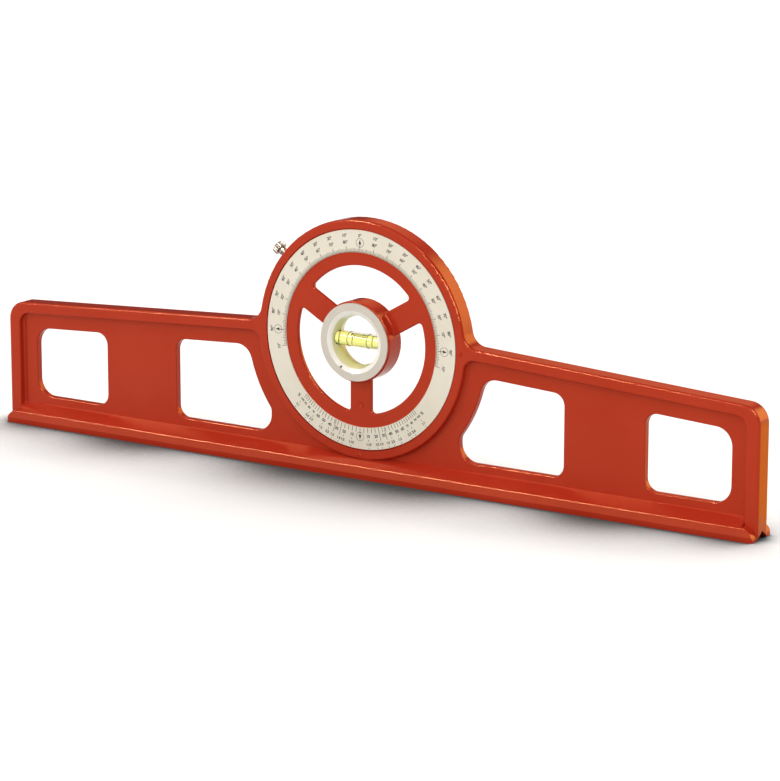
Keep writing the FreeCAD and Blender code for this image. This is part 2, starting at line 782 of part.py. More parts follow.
def makeClampScrew():
    body = addBody("clamp_screw")
    stubBore = size["padStubRadius"] + size["clampClearance"]
    stubEnd = padBack + size["padStubLength"] + size["clampClearance"]
    bevel = size["clampHeadBevel"]
    turned = addRevolution(body, "clampTurn", [
        (padBack, stubBore),
        (padBack, size["clampRadius"]),
        (clampSeat, size["clampRadius"]),
        (clampSeat, size["clampHeadRadius"]),
        (clampEnd - bevel, size["clampHeadRadius"]),
        (clampEnd, size["clampHeadRadius"] - bevel),
        (clampEnd, asSize(0)),
        (stubEnd, asSize(0)),
        (stubEnd, stubBore),
    ])
    groove = addSketch(body, "knurlOutline", "XZ_Plane", -clampEnd - 1)
    addLoop(groove, [
        (size["clampHeadRadius"] - size["knurlDepth"], 0),
        (size["clampHeadRadius"] + size["knurlDepth"], 2 * size["knurlDepth"]),
        (size["clampHeadRadius"] + size["knurlDepth"], -2 * size["knurlDepth"]),
    ])
    cut = addPocket(body, "knurlGroove", groove, size["clampHeadHeight"] + 1, True)
    addPolar(body, "knurl", [cut], size["knurlCount"])
    placeOnClampAxis(body)
    return body


def makeClampPad():
    body = addBody("clamp_pad")
    stubEnd = padBack + size["padStubLength"]
    addRevolution(body, "padTurn", [
        (padFront, asSize(0)),
        (padFront, size["clampRadius"]),
        (padBack, size["clampRadius"]),
        (padBack, size["padStubRadius"]),
        (stubEnd, size["padStubRadius"]),
        (stubEnd, asSize(0)),
    ])
    placeOnClampAxis(body)
    return body


def makeBezel(label, side):
    body = addBody(label, size["dialHeight"])

    def across(depth):
        return hubMiddle + side * depth

    face = size["hubWidth"] / 2 + size["bezelFlange"]
    sleeve = size["hubBore"] - size["seatClearance"]
    addRevolution(body, f"{label}Turn", [
        (across(face), size["bezelMouth"]),
        (across(face), size["bezelRadius"]),
        (across(size["hubWidth"] / 2), size["bezelRadius"]),
        (across(size["hubWidth"] / 2), sleeve),
        (hubMiddle, sleeve),
        (hubMiddle, size["bezelWaist"]),
        (across(face - size["bezelBevel"]), size["bezelInner"]),
    ])
    seat = addSketch(body, f"{label}Seat", "YZ_Plane")
    addCircle(seat, size["vialRadius"] + size["vialSeat"], hubMiddle, 0)
    seatLength = size["vialLength"] + 2 * size["vialSeat"]
    addPocket(body, f"{label}SeatCut", seat, seatLength, bothWays=True)
    pin = addSketch(body, f"{label}Pin", "XZ_Plane")
    addCircle(
        pin,
        size["pinRadius"] + size["seatClearance"],
        size["pinCircle"] * cosineOf(size["pinAngle"]),
        size["pinCircle"] * sineOf(size["pinAngle"]),
    )
    addPocket(body, f"{label}PinHole", pin)
    return body


def makeBezelPin():
    length = size["hubWidth"] + 2 * size["bezelFlange"] - 2 * size["bezelBevel"]
    return addCylinder(
        "bezel_pin",
        size["pinRadius"],
        length,
        (
            size["pinCircle"] * cosineOf(size["pinAngle"]),
            hubMiddle - length / 2,
            size["dialHeight"] + size["pinCircle"] * sineOf(size["pinAngle"]),
        ),
        toBack,
    )


def addRod(name, radius, length, start):
    return addCylinder(name, radius, length, (start, hubMiddle, size["dialHeight"]), toRight)


def addCut(label, base, tool):
    cut = doc.addObject("Part::Cut", label)
    cut.Base = base
    cut.Tool = tool
    return cut


def makeVial():
    vialEnd = size["vialLength"] / 2
    tube = addCut(
        "vial_tube",
        addRod("tubeOutside", size["vialRadius"], size["vialLength"], -vialEnd),
        addRod("tubeBore", vialBore, size["vialLength"], -vialEnd),
    )
    plugRadius = vialBore - size["seatClearance"]
    fluidEnd = vialEnd - size["plugLength"]
    left = addRod("vial_plug_left", plugRadius, size["plugLength"], -vialEnd)
    right = addRod("vial_plug_right", plugRadius, size["plugLength"], fluidEnd)

    lines = []
    for name, middle in (("Left", -size["lineGap"] / 2), ("Right", size["lineGap"] / 2)):
        start = middle - size["lineWidth"] / 2
        lines.append(addCut(
            f"line{name}",
            addRod(f"lineOutside{name}", size["vialRadius"] + size["lineThick"], size["lineWidth"], start),
            addRod(f"lineInside{name}", size["vialRadius"], size["lineWidth"], start),
        ))
    marks = doc.addObject("Part::Compound", "vial_lines")
    marks.Links = lines

    radius = size["bubbleRadius"]
    clearance = size["bubbleClearance"]
    bubbleEnd = size["bubbleLength"] / 2
    bubbleMiddle = size["dialHeight"] + vialBore - clearance - radius
    bubble = addBody("bubble")
    profile = [
        (-bubbleEnd, 0),
        (radius - bubbleEnd, radius),
        (bubbleEnd - radius, radius),
        (bubbleEnd, 0),
    ]
    addRevolution(bubble, "bubbleTurn", profile, {
        0: (radius, (radius - bubbleEnd, 0)),
        2: (radius, (bubbleEnd - radius, 0)),
    })
    bubble.Placement = Placement(
        Vector(0, hubMiddle.value, bubbleMiddle.value), Rotation(Vector(0, 1, 0), Vector(1, 0, 0))
    )
    bubble.setExpression("Placement.Base.y", hubMiddle.text)
    bubble.setExpression("Placement.Base.z", bubbleMiddle.text)

    track = doc.addObject("Part::Box", "bubbleTrack")
    trackHalf = size["bubbleTravel"] + bubbleEnd + clearance
    trackWidth = 2 * (radius + clearance)
    trackFloor = bubbleMiddle - radius - clearance
    track.setExpression("Length", (2 * trackHalf).text)
    track.setExpression("Width", trackWidth.text)
    track.setExpression("Height", vialBore.text)
    track.setExpression("Placement.Base.x", (-trackHalf).text)
    track.setExpression("Placement.Base.y", (hubMiddle - trackWidth / 2).text)
    track.setExpression("Placement.Base.z", trackFloor.text)
    fluidRadius = vialBore - size["seatClearance"]
    filled = addRod("vialFilling", fluidRadius, 2 * fluidEnd, -fluidEnd)
    fluid = addCut("vial_fluid", filled, track)
    return [tube, left, right, marks, fluid, bubble]


nodes = [
    makeFrame(),
    turnedBody(
        "glide_ring",
        ringPoints(
            size["lipRadius"] + size["glideInset"],
            size["recessRadius"] - size["glideInset"],
            discBack,
            lipFrontFace,
        ),
        size["dialHeight"],
    ),
    makeWheel(),
    turnedBody(
        "scale_ring",
        ringPoints(size["scaleInner"], size["scaleOuter"], discFront - size["scaleThick"], discFront),
        size["dialHeight"],
    ),
    makeRetainingRing(),
    makeRetainingScrews(),
    makeClampScrew(),
    makeClampPad(),
    makeBezel("front_bezel", -1),
    makeBezel("rear_bezel", 1),
    makeBezelPin(),
]
nodes += makeVial()
doc.recompute()

faults = [item.Name for item in doc.Objects if "Invalid" in item.State or "Error" in item.State]
for node in nodes:
    if node.Shape.isNull() or not node.Shape.isValid():
        faults.append(node.Label)
if faults:
    raise RuntimeError("failed: " + ", ".join(faults))

os.makedirs("parts", exist_ok=True)
for node in nodes:
    node.Shape.exportStep(f"parts/{node.Label}.step")
    print(f"{node.Label}: {len(node.Shape.Solids)} solid(s), {node.Shape.Volume:.1f} mm3")
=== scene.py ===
import bpy
import json
from math import atan, cos, pi, radians, sin
from mathutils import Matrix, Vector


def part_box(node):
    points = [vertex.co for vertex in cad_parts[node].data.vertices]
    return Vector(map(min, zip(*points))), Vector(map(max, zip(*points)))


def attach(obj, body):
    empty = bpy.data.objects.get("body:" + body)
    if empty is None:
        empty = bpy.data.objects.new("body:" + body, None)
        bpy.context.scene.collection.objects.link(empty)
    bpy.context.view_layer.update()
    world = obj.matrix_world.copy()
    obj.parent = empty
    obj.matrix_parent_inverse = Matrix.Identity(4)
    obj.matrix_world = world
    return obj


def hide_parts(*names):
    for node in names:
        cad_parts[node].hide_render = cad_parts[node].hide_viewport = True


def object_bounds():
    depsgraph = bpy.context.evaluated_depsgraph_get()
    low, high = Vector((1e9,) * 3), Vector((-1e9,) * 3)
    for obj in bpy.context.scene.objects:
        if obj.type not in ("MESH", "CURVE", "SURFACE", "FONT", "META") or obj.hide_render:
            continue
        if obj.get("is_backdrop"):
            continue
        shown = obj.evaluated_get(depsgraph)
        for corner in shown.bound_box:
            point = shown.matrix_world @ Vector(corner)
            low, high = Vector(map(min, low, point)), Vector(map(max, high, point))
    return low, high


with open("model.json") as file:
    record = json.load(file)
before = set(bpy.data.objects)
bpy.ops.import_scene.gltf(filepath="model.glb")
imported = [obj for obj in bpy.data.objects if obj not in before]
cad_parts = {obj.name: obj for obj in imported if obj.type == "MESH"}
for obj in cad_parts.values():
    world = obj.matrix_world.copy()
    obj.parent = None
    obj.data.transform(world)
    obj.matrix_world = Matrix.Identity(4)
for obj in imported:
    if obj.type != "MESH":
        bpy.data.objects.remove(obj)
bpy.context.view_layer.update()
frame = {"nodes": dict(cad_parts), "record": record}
nodes = frame["nodes"]
bpy.ops.object.select_all(action="DESELECT")
print("level: frame loaded,", len(nodes), "nodes")

# where the dial and the vial lie, read from the frame
ringLow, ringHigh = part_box("scale_ring")
dialHeight = (ringLow.z + ringHigh.z) / 2
dialFace = ringLow.y
discFace = ringHigh.y  # the wheel's face, which the scale ring lies on
fluidLow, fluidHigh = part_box("vial_fluid")
vialMiddle = (fluidLow.y + fluidHigh.y) / 2
vialBore = (fluidHigh.y - fluidLow.y) / 2


def linear(red, green, blue):  # screen colour, 0 to 255, as the shader wants it
    parts = []
    for part in (red, green, blue):
        part = part / 255
        parts.append(part / 12.92 if part <= 0.04045 else ((part + 0.055) / 1.055) ** 2.4)
    return (*parts, 1.0)


def newMaterial(name):
    material = bpy.data.materials.new(name)
    material.use_nodes = True
    tree = material.node_tree
    shader = tree.nodes["Principled BSDF"]
    place = tree.nodes.new("ShaderNodeTexCoord")
    return material, tree, shader, place.outputs["Object"]


def addNoise(tree, place, scale, detail=3.0, roughness=0.5):
    noise = tree.nodes.new("ShaderNodeTexNoise")
    noise.inputs["Scale"].default_value = scale
    noise.inputs["Detail"].default_value = detail
    noise.inputs["Roughness"].default_value = roughness
    tree.links.new(place, noise.inputs["Vector"])
    return noise.outputs["Fac"]


def addRamp(tree, factor, stops):
    ramp = tree.nodes.new("ShaderNodeValToRGB")
    elements = ramp.color_ramp.elements
    elements[0].position, elements[0].color = stops[0]
    elements[1].position, elements[1].color = stops[-1]
    for position, colour in stops[1:-1]:
        elements.new(position).color = colour
    tree.links.new(factor, ramp.inputs["Fac"])
    return ramp.outputs["Color"]


def addRange(tree, factor, low, high, fromLow=0.3, fromHigh=0.7):
    spread = tree.nodes.new("ShaderNodeMapRange")
    spread.inputs["From Min"].default_value = fromLow
    spread.inputs["From Max"].default_value = fromHigh
    spread.inputs["To Min"].default_value = low
    spread.inputs["To Max"].default_value = high
    tree.links.new(factor, spread.inputs["Value"])
    return spread.outputs["Result"]


def addBump(tree, shader, height, strength, distance):
    bump = tree.nodes.new("ShaderNodeBump")
    bump.inputs["Strength"].default_value = strength
    bump.inputs["Distance"].default_value = distance
    tree.links.new(height, bump.inputs["Height"])
    tree.links.new(bump.outputs["Normal"], shader.inputs["Normal"])


def addReach(tree, place):  # distance from the wheel's axis
    centred = tree.nodes.new("ShaderNodeMapping")
    centred.inputs["Location"].default_value = (0, 0, -dialHeight)
    tree.links.new(place, centred.inputs["Vector"])
    flat = tree.nodes.new("ShaderNodeVectorMath")
    flat.operation = "MULTIPLY"
    flat.inputs[1].default_value = (1, 0, 1)
    tree.links.new(centred.outputs["Vector"], flat.inputs[0])
    reach = tree.nodes.new("ShaderNodeVectorMath")
    reach.operation = "LENGTH"
    tree.links.new(flat.outputs["Vector"], reach.inputs[0])
    return reach.outputs["Value"]


enamel = {
    "deep": (0.380, 0.024, 0.009, 1),
    "light": (0.415, 0.031, 0.013, 1),
    "cloudScale": 14.0,
    "peelScale": 420.0,
    "peelHeight": 0.000006,
    "gloss": (0.13, 0.19),
    "specular": 0.32,
    "sheen": (1.0, 0.55, 0.25, 1),  # tint of the gloss
}


# glossy enamel over the casting, with the faint waves of a sprayed coat
def makeEnamel():
    material, tree, shader, place = newMaterial("redEnamel")
    clouds = addNoise(tree, place, enamel["cloudScale"], 5.0, 0.6)
    colour = addRamp(tree, clouds, [(0.30, enamel["deep"]), (0.70, enamel["light"])])
    tree.links.new(colour, shader.inputs["Base Color"])
    peel = addNoise(tree, place, enamel["peelScale"], 2.0)
    tree.links.new(addRange(tree, peel, *enamel["gloss"]), shader.inputs["Roughness"])
    addBump(tree, shader, peel, 0.15, enamel["peelHeight"])
    shader.inputs["Specular IOR Level"].default_value = enamel["specular"]
    shader.inputs["Specular Tint"].default_value = enamel["sheen"]
    return material


scalePaint = {
    "cream": linear(220, 215, 200),
    "warm": linear(214, 208, 190),
    "grainScale": 1800.0,
    "gloss": (0.34, 0.46),
    "specular": 0.4,
}


# matt cream print that covers the whole scale ring
def makeScalePaint():
    material, tree, shader, place = newMaterial("creamScale")
    clouds = addNoise(tree, place, 30.0, 5.0)
    colour = addRamp(tree, clouds, [(0.35, scalePaint["warm"]), (0.65, scalePaint["cream"])])
    tree.links.new(colour, shader.inputs["Base Color"])
    grain = addNoise(tree, place, scalePaint["grainScale"], 2.0)
    tree.links.new(addRange(tree, grain, *scalePaint["gloss"]), shader.inputs["Roughness"])
    addBump(tree, shader, grain, 0.2, 0.00001)
    shader.inputs["Specular IOR Level"].default_value = scalePaint["specular"]
    return material


def makeInk(name, dark, pale):
    material, tree, shader, place = newMaterial(name)
    speck = addNoise(tree, place, 900.0, 2.0)
    colour = addRamp(tree, speck, [(0.3, linear(*dark)), (0.8, linear(*pale))])
    tree.links.new(colour, shader.inputs["Base Color"])
    tree.links.new(addRange(tree, speck, 0.42, 0.58), shader.inputs["Roughness"])
    return material


milky = {
    "reach": (0.0160, 0.0230),  # distances from the axis, between which the colours below lie
    # the inner stops paint light: yellow on the bore's wall for light through the vial, and a paler
    # bevel as a painted highlight; the last stop is the flange's own beige
    "coloursAndPaintedLight": [
        (0.14, linear(222, 225, 152)),
        (0.33, linear(234, 235, 194)),
        (0.38, linear(232, 230, 222)),
        (0.75, linear(236, 234, 227)),
        (0.80, linear(201, 195, 184)),
    ],
    "clouds": [(0.35, (0.955, 0.955, 0.945, 1)), (0.65, (1, 1, 1, 1))],
    "glow": 0.25,  # share of light that spreads inside
    "glowReach": (0.004, 0.004, 0.003),
}


# milky plastic: the flange in its own beige, the bevel painted paler as a painted highlight, and the
# bore's wall painted yellow as painted light from the vial
def makeMilkyPlastic():
    material, tree, shader, place = newMaterial("milkyPlastic")
    reach = addRange(tree, addReach(tree, place), 0.0, 1.0, *milky["reach"])
    # colour by distance from the axis, which paints light on the bevel and on the bore's wall
    tone = addRamp(tree, reach, milky["coloursAndPaintedLight"])
    clouds = addRamp(tree, addNoise(tree, place, 60.0, 3.0), milky["clouds"])
    blend = tree.nodes.new("ShaderNodeMix")
    blend.data_type = "RGBA"
    blend.blend_type = "MULTIPLY"
    blend.inputs["Factor"].default_value = 1.0
    tree.links.new(tone, blend.inputs["A"])
    tree.links.new(clouds, blend.inputs["B"])
    tree.links.new(blend.outputs["Result"], shader.inputs["Base Color"])
    haze = addNoise(tree, place, 500.0, 2.0)
    tree.links.new(addRange(tree, haze, 0.18, 0.28), shader.inputs["Roughness"])
    addBump(tree, shader, haze, 0.15, 0.00001)
    shader.inputs["Subsurface Weight"].default_value = milky["glow"]
    shader.inputs["Subsurface Radius"].default_value = milky["glowReach"]
    shader.inputs["Subsurface Scale"].default_value = 0.5
    return material


# turned says that the tool's marks run round the wheel's axis; low and high are screen colours
def makeMetal(name, low, high, rough, scale, turned=False, height=0.000008):
    material, tree, shader, place = newMaterial(name)
    if turned:
        grooves = tree.nodes.new("ShaderNodeCombineXYZ")
        tree.links.new(addReach(tree, place), grooves.inputs["X"])
        place = grooves.outputs["Vector"]
    grain = addNoise(tree, place, scale, 4.0)
    colour = addRamp(tree, grain, [(0.3, linear(*low)), (0.7, linear(*high))])
    tree.links.new(colour, shader.inputs["Base Color"])
    tree.links.new(addRange(tree, grain, *rough), shader.inputs["Roughness"])
    addBump(tree, shader, grain, 0.3, height)
    shader.inputs["Metallic"].default_value = 1.0
    return material


def makePlastic(name, low, high, rough, scale):
    material, tree, shader, place = newMaterial(name)
    grain = addNoise(tree, place, scale, 3.0)
    colour = addRamp(tree, grain, [(0.3, linear(*low)), (0.7, linear(*high))])
    tree.links.new(colour, shader.inputs["Base Color"])
    tree.links.new(addRange(tree, grain, *rough), shader.inputs["Roughness"])
    addBump(tree, shader, grain, 0.15, 0.00001)
    return material


glassTint = (0.3, 0.3, 0.26, 1)  # holds back the lamps' glints, so that the yellow shows


# a clear piece: its colour barely varies, and light goes through it
def makeClear(name, low, high, refraction, rough=0.02):
    material, tree, shader, place = newMaterial(name)
    clouds = addNoise(tree, place, 120.0, 2.0)
    colour = addRamp(tree, clouds, [(0.3, (*low, 1)), (0.7, (*high, 1))])
    tree.links.new(colour, shader.inputs["Base Color"])
    shader.inputs["Transmission Weight"].default_value = 1.0
    shader.inputs["Specular Tint"].default_value = glassTint
    shader.inputs["IOR"].default_value = refraction
    shader.inputs["Roughness"].default_value = rough
    return material


redEnamel = makeEnamel()
creamScale = makeScalePaint()
dialInk = makeInk("dialInk", (28, 26, 24), (58, 54, 50))
fineInk = makeInk("fineInk", (58, 46, 36), (88, 72, 58))
milkyPlastic = makeMilkyPlastic()
zincSteel = makeMetal("zincSteel", (158, 157, 154), (186, 185, 182), (0.20, 0.30), 260.0)
turnedSteel = makeMetal("turnedSteel", (164, 162, 159), (190, 188, 185), (0.14, 0.22), 900.0, True)
platedScrew = makeMetal("platedScrew", (138, 128, 120), (172, 162, 154), (0.30, 0.42), 420.0)
brassPad = makeMetal("brassPad", (196, 160, 84), (214, 180, 104), (0.25, 0.4), 300.0)
darkPin = makeMetal("darkPin", (96, 92, 88), (124, 120, 114), (0.3, 0.45), 500.0)
glidePlastic = makePlastic("glidePlastic", (224, 224, 220), (236, 236, 232), (0.4, 0.5), 200.0)
plugPlastic = makePlastic("plugPlastic", (226, 226, 150), (238, 238, 164), (0.35, 0.5), 200.0)
linePaint = makePlastic("linePaint", (60, 60, 30), (78, 78, 42), (0.4, 0.5), 600.0)
clearAcrylic = makeClear("clearAcrylic", (0.98, 0.98, 0.83), (0.985, 0.985, 0.86), 1.49)
yellowLiquid = makeClear("yellowLiquid", (0.94, 0.93, 0.37), (0.95, 0.94, 0.41), 1.40)
bubbleSkin = makeClear("bubbleSkin", (0.92, 0.92, 0.86), (0.95, 0.95, 0.90), 0.74)

finishes = {
    "frame": redEnamel,
    "dial_wheel": redEnamel,
    "glide_ring": glidePlastic,
    "scale_ring": creamScale,
    "retaining_ring": turnedSteel,
    "retaining_screws": zincSteel,
    "clamp_screw": platedScrew,
    "clamp_pad": brassPad,
    "front_bezel": milkyPlastic,
    "rear_bezel": milkyPlastic,
    "bezel_pin": darkPin,
    "vial_tube": clearAcrylic,
    "vial_plug_left": plugPlastic,
    "vial_plug_right": plugPlastic,
    "vial_lines": linePaint,
    "vial_fluid": yellowLiquid,
    "bubble": bubbleSkin,
}


def paint(piece, material):
    piece.data.materials.clear()
    piece.data.materials.append(material)
    for polygon in piece.data.polygons:
        polygon.material_index = 0


for name, node in nodes.items():
    paint(node, finishes[name])
print("level: nodes painted")


def pick(piece):
    bpy.ops.object.select_all(action="DESELECT")
    piece.select_set(True)
    bpy.context.view_layer.objects.active = piece


def settle(piece):  # its place goes into its mesh
    pick(piece)
    bpy.ops.object.transform_apply(location=True, rotation=True, scale=True)


# leaves the piece in edit mode, with the faces selected whose normal runs along the direction,
# and with both also those whose normal runs against it
def pickFaces(piece, direction, both=False):
    pick(piece)
    bpy.ops.object.mode_set(mode="EDIT")
    bpy.ops.mesh.select_mode(type="FACE")
    bpy.ops.mesh.select_all(action="DESELECT")
    bpy.ops.object.mode_set(mode="OBJECT")
    for polygon in piece.data.polygons:
        along = polygon.normal.dot(Vector(direction))
        polygon.select = (abs(along) if both else along) > 0.99
    bpy.ops.object.mode_set(mode="EDIT")


def bevelAll(piece, width, segments=2, angle=35):
    pick(piece)
    bevel = piece.modifiers.new("softEdges", "BEVEL")
    bevel.width = width
    bevel.segments = segments
    bevel.limit_method = "ANGLE"
    bevel.angle_limit = radians(angle)
    bpy.ops.object.modifier_apply(modifier=bevel.name)


def onDial(degrees):  # turns about the wheel's axis, clockwise from the top
    centre = Vector((0, 0, dialHeight))
    turn = Matrix.Rotation(radians(degrees), 4, "Y")
    return Matrix.Translation(centre) @ turn @ Matrix.Translation(-centre)


def copyTurned(source, degrees):
    piece = source.copy()
    piece.data = source.data.copy()
    piece.data.transform(onDial(degrees))
    bpy.context.collection.objects.link(piece)
    return piece


def joinAll(pieces, name):
    bpy.ops.object.select_all(action="DESELECT")
    for piece in pieces:
        piece.select_set(True)
    bpy.context.view_layer.objects.active = pieces[0]
    bpy.ops.object.join()
    whole = bpy.context.active_object
    whole.name = name
    whole.data.name = name
    return whole


def finishPiece(piece, body, material):
    paint(piece, material)
    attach(piece, body)


marks = {
    "inkHeight": 0.00004,
    "start": 0.0603,
    "one": 0.0623,
    "five": 0.0629,
    "ten": 0.0640,
    "percent": 0.0636,
    "fine": 0.00030,
    "bold": 0.00036,
    "ratioIn": (0.0683, 0.0694),
    "ratioOut": (0.0737, 0.0748),
    "rimLine": (0.0602, 0.0605),
    "rimStep": 2,
    "longRatios": ("1:4", "1:3"),
    "ratios": {
        "1:10": 0.1,
        "1:5": 0.2,
        "1:4": 0.25,
        "1:3": 1 / 3,
        "2:5": 0.4,
        "1:2": 0.5,
        "2:3": 2 / 3,
        "3:4": 0.75,
        "1:1": 1.0,
    },
}


# a printed bar at the top of the scale, between two radii
def makeBar(inner, outer, width):
    middle = (0, dialFace - marks["inkHeight"] / 2, dialHeight + (inner + outer) / 2)
    bpy.ops.object.select_all(action="DESELECT")
    bpy.ops.mesh.primitive_cube_add(size=1, location=middle)
    bar = bpy.context.active_object
    bar.scale = (width, marks["inkHeight"], outer - inner)
    settle(bar)
    return bar


# the degree marks with the line along their feet
def makeDegreeMarks():
    kinds = {
        "one": makeBar(marks["start"], marks["one"], marks["fine"]),
        "five": makeBar(marks["start"], marks["five"], marks["fine"]),
        "ten": makeBar(marks["start"], marks["ten"], marks["bold"]),
        "rim": makeBar(*marks["rimLine"], marks["rimLine"][1] * radians(marks["rimStep"])),
    }
    pieces = []
    for degrees in range(-100, 101):
        kind = "ten" if degrees % 10 == 0 else "five" if degrees % 5 == 0 else "one"
        pieces.append(copyTurned(kinds[kind], degrees))
    for degrees in range(-99, 100, marks["rimStep"]):
        pieces.append(copyTurned(kinds["rim"], degrees))
    for bar in kinds.values():
        bpy.data.objects.remove(bar)
    whole = joinAll(pieces, "degree_marks")
    finishPiece(whole, "wheel", fineInk)


def slopeAngle(slope):
    return atan(slope) * 180 / pi


# percent marks on the lower half, and the marks of the common ratios outside them
def makePercentMarks():
    kinds = {
        "percent": makeBar(marks["start"], marks["percent"], marks["bold"]),
        "ratioIn": makeBar(*marks["ratioIn"], marks["bold"]),
        "ratioOut": makeBar(*marks["ratioOut"], marks["bold"]),
        "long": makeBar(marks["start"], marks["ratioIn"][1], marks["fine"]),
    }
    pieces = []
    for side in (-1, 1):
        for percent in range(0 if side == 1 else 5, 101, 5):
            pieces.append(copyTurned(kinds["percent"], 180 + side * slopeAngle(percent / 100)))
        for label, slope in marks["ratios"].items():
            angle = 180 + side * slopeAngle(slope)
            pieces.append(copyTurned(kinds["ratioOut"], angle))
            kind = "long" if label in marks["longRatios"] else "ratioIn"
            pieces.append(copyTurned(kinds[kind], angle))
    for bar in kinds.values():
        bpy.data.objects.remove(bar)
    whole = joinAll(pieces, "percent_marks")
    finishPiece(whole, "wheel", dialInk)


makeDegreeMarks()
makePercentMarks()
print("level: scale marks made")

figures = {
    "outerRow": 0.0713,
    "innerRow": 0.0667,
    "percentRow": 0.0660,
    "ratioRow": 0.0716,
    "size": 0.0031,
    "small": 0.0027,
    "crowdedFrom": 70,  # percent figures stand closer from here on, and are smaller
    "crowded": 0.0027 * 0.86,
    "percentSign": 48.4,  # degrees from the bottom
    "weight": 0.022,
    "spacing": 0.92,
}


# upright says that the figure's head points to the axis, as on the lower half
def makeFigure(words, radius, degrees, size, upright=False):
    bpy.ops.object.select_all(action="DESELECT")
    bpy.ops.object.text_add(rotation=(pi / 2, 0, 0))
    figure = bpy.context.active_object
    text = figure.data
    text.body = words
    text.size = size
    text.align_x = "CENTER"
    text.align_y = "CENTER"
    text.extrude = marks["inkHeight"] / 2
    text.resolution_u = 2
    text.space_character = figures["spacing"]
    text.offset = size * figures["weight"]
    height = dialHeight + (-radius if upright else radius)
    figure.location = (0, dialFace - marks["inkHeight"] / 2, height)
    bpy.ops.object.convert(target="MESH")
    figure = bpy.context.active_object
    settle(figure)
    figure.data.transform(onDial(degrees - 180 if upright else degrees))
    return figure


# degrees from both ends of the quarter above, percents and ratios below
def makeFigures():
    pieces = []
    for degrees in range(-90, 91, 10):
        pieces.append(makeFigure(f"{abs(degrees)}°", figures["outerRow"], degrees, figures["size"]))
    for degrees in range(-100, 101, 10):
        if degrees % 90 != 0:
            value = abs(90 - abs(degrees))
            pieces.append(makeFigure(f"{value}°", figures["innerRow"], degrees, figures["size"]))
    for side in (-1, 1):
        for percent in range(10, 101, 10):
            angle = 180 + side * slopeAngle(percent / 100)
            size = figures["size"] if percent < figures["crowdedFrom"] else figures["crowded"]
            pieces.append(makeFigure(str(percent), figures["percentRow"], angle, size, True))
        angle = 180 + side * figures["percentSign"]
        pieces.append(makeFigure("%", figures["percentRow"], angle, figures["size"], True))
        for label, slope in marks["ratios"].items():
            angle = 180 + side * slopeAngle(slope)
            pieces.append(makeFigure(label, figures["ratioRow"], angle, figures["small"], True))
    whole = joinAll(pieces, "scale_figures")
    finishPiece(whole, "wheel", dialInk)


makeFigures()
print("level: scale figures made")

pointer = {
    "radius": 0.0665,
    "circle": 0.0031,
    "line": 0.00024,
    "size": 0.00155,
    "shape": (0.85, 1.35, 1),
    "shaftFoot": 0.0031 * 1.15,
    "shaftWidth": marks["bold"] * 1.3,
}


# an arrow in a circle, at the four quarters of the scale
def makeQuarterSigns():
    middle = (0, dialFace - marks["inkHeight"] / 2, dialHeight + pointer["radius"])
    bpy.ops.object.select_all(action="DESELECT")
    bpy.ops.mesh.primitive_cylinder_add(
        vertices=40, radius=pointer["circle"], depth=marks["inkHeight"],
        location=middle, rotation=(pi / 2, 0, 0),
    )
    ring = bpy.context.active_object
    settle(ring)
    pickFaces(ring, (0, -1, 0), True)
    bpy.ops.mesh.inset(thickness=pointer["line"], depth=0)
    bpy.ops.mesh.bridge_edge_loops()
    bpy.ops.object.mode_set(mode="OBJECT")
    bpy.ops.object.select_all(action="DESELECT")
    bpy.ops.mesh.primitive_cone_add(
        vertices=3, radius1=pointer["size"], radius2=pointer["size"] * 0.98,
        depth=marks["inkHeight"], location=middle, rotation=(pi / 2, 0, 0),
    )
    head = bpy.context.active_object
    head.scale = pointer["shape"]
    settle(head)
    shaft = makeBar(pointer["radius"] - pointer["shaftFoot"], pointer["radius"], pointer["shaftWidth"])
    sign = joinAll([ring, head, shaft], "quarterSign")
    signs = [copyTurned(sign, degrees) for degrees in (0, 90, 180, 270)]
    bpy.data.objects.remove(sign)
    whole = joinAll(signs, "quarter_signs")
    finishPiece(whole, "wheel", dialInk)


makeQuarterSigns()
print("level: quarter signs made")

castPointer = {
    "places": (180, 90),
    "face": -0.0072,  # front of the ring
    "radius": 0.0790,
    "foot": 0.0024,
    "crest": 0.0006,
    "height": 0.0010,
    "sunk": 0.00005,
    "soft": 0.00015,
}


# the reading marks that are cast on the ring, each a small arrowhead pointing at the scale
def makeCastPointers():
    depth = castPointer["height"] + castPointer["sunk"]
    middle = castPointer["face"] + castPointer["sunk"] - depth / 2
    bpy.ops.object.select_all(action="DESELECT")
    bpy.ops.mesh.primitive_cone_add(
        vertices=3, radius1=castPointer["crest"], radius2=castPointer["foot"], depth=depth,
        location=(0, middle, dialHeight + castPointer["radius"]),
        rotation=(-pi / 2, 0, 0),
    )
    wedge = bpy.context.active_object
    settle(wedge)
    bevelAll(wedge, castPointer["soft"])
    pieces = [copyTurned(wedge, degrees) for degrees in castPointer["places"]]
    bpy.data.objects.remove(wedge)
    whole = joinAll(pieces, "cast_pointers")
    finishPiece(whole, "frame", redEnamel)


castRing = {
    "radius": 0.0447,
    "size": 0.0021,
    "height": 0.0005,
    "wall": 0.0006,
    "dip": 0.0005 * 0.8,
    "soft": 0.0005 * 0.45,
}


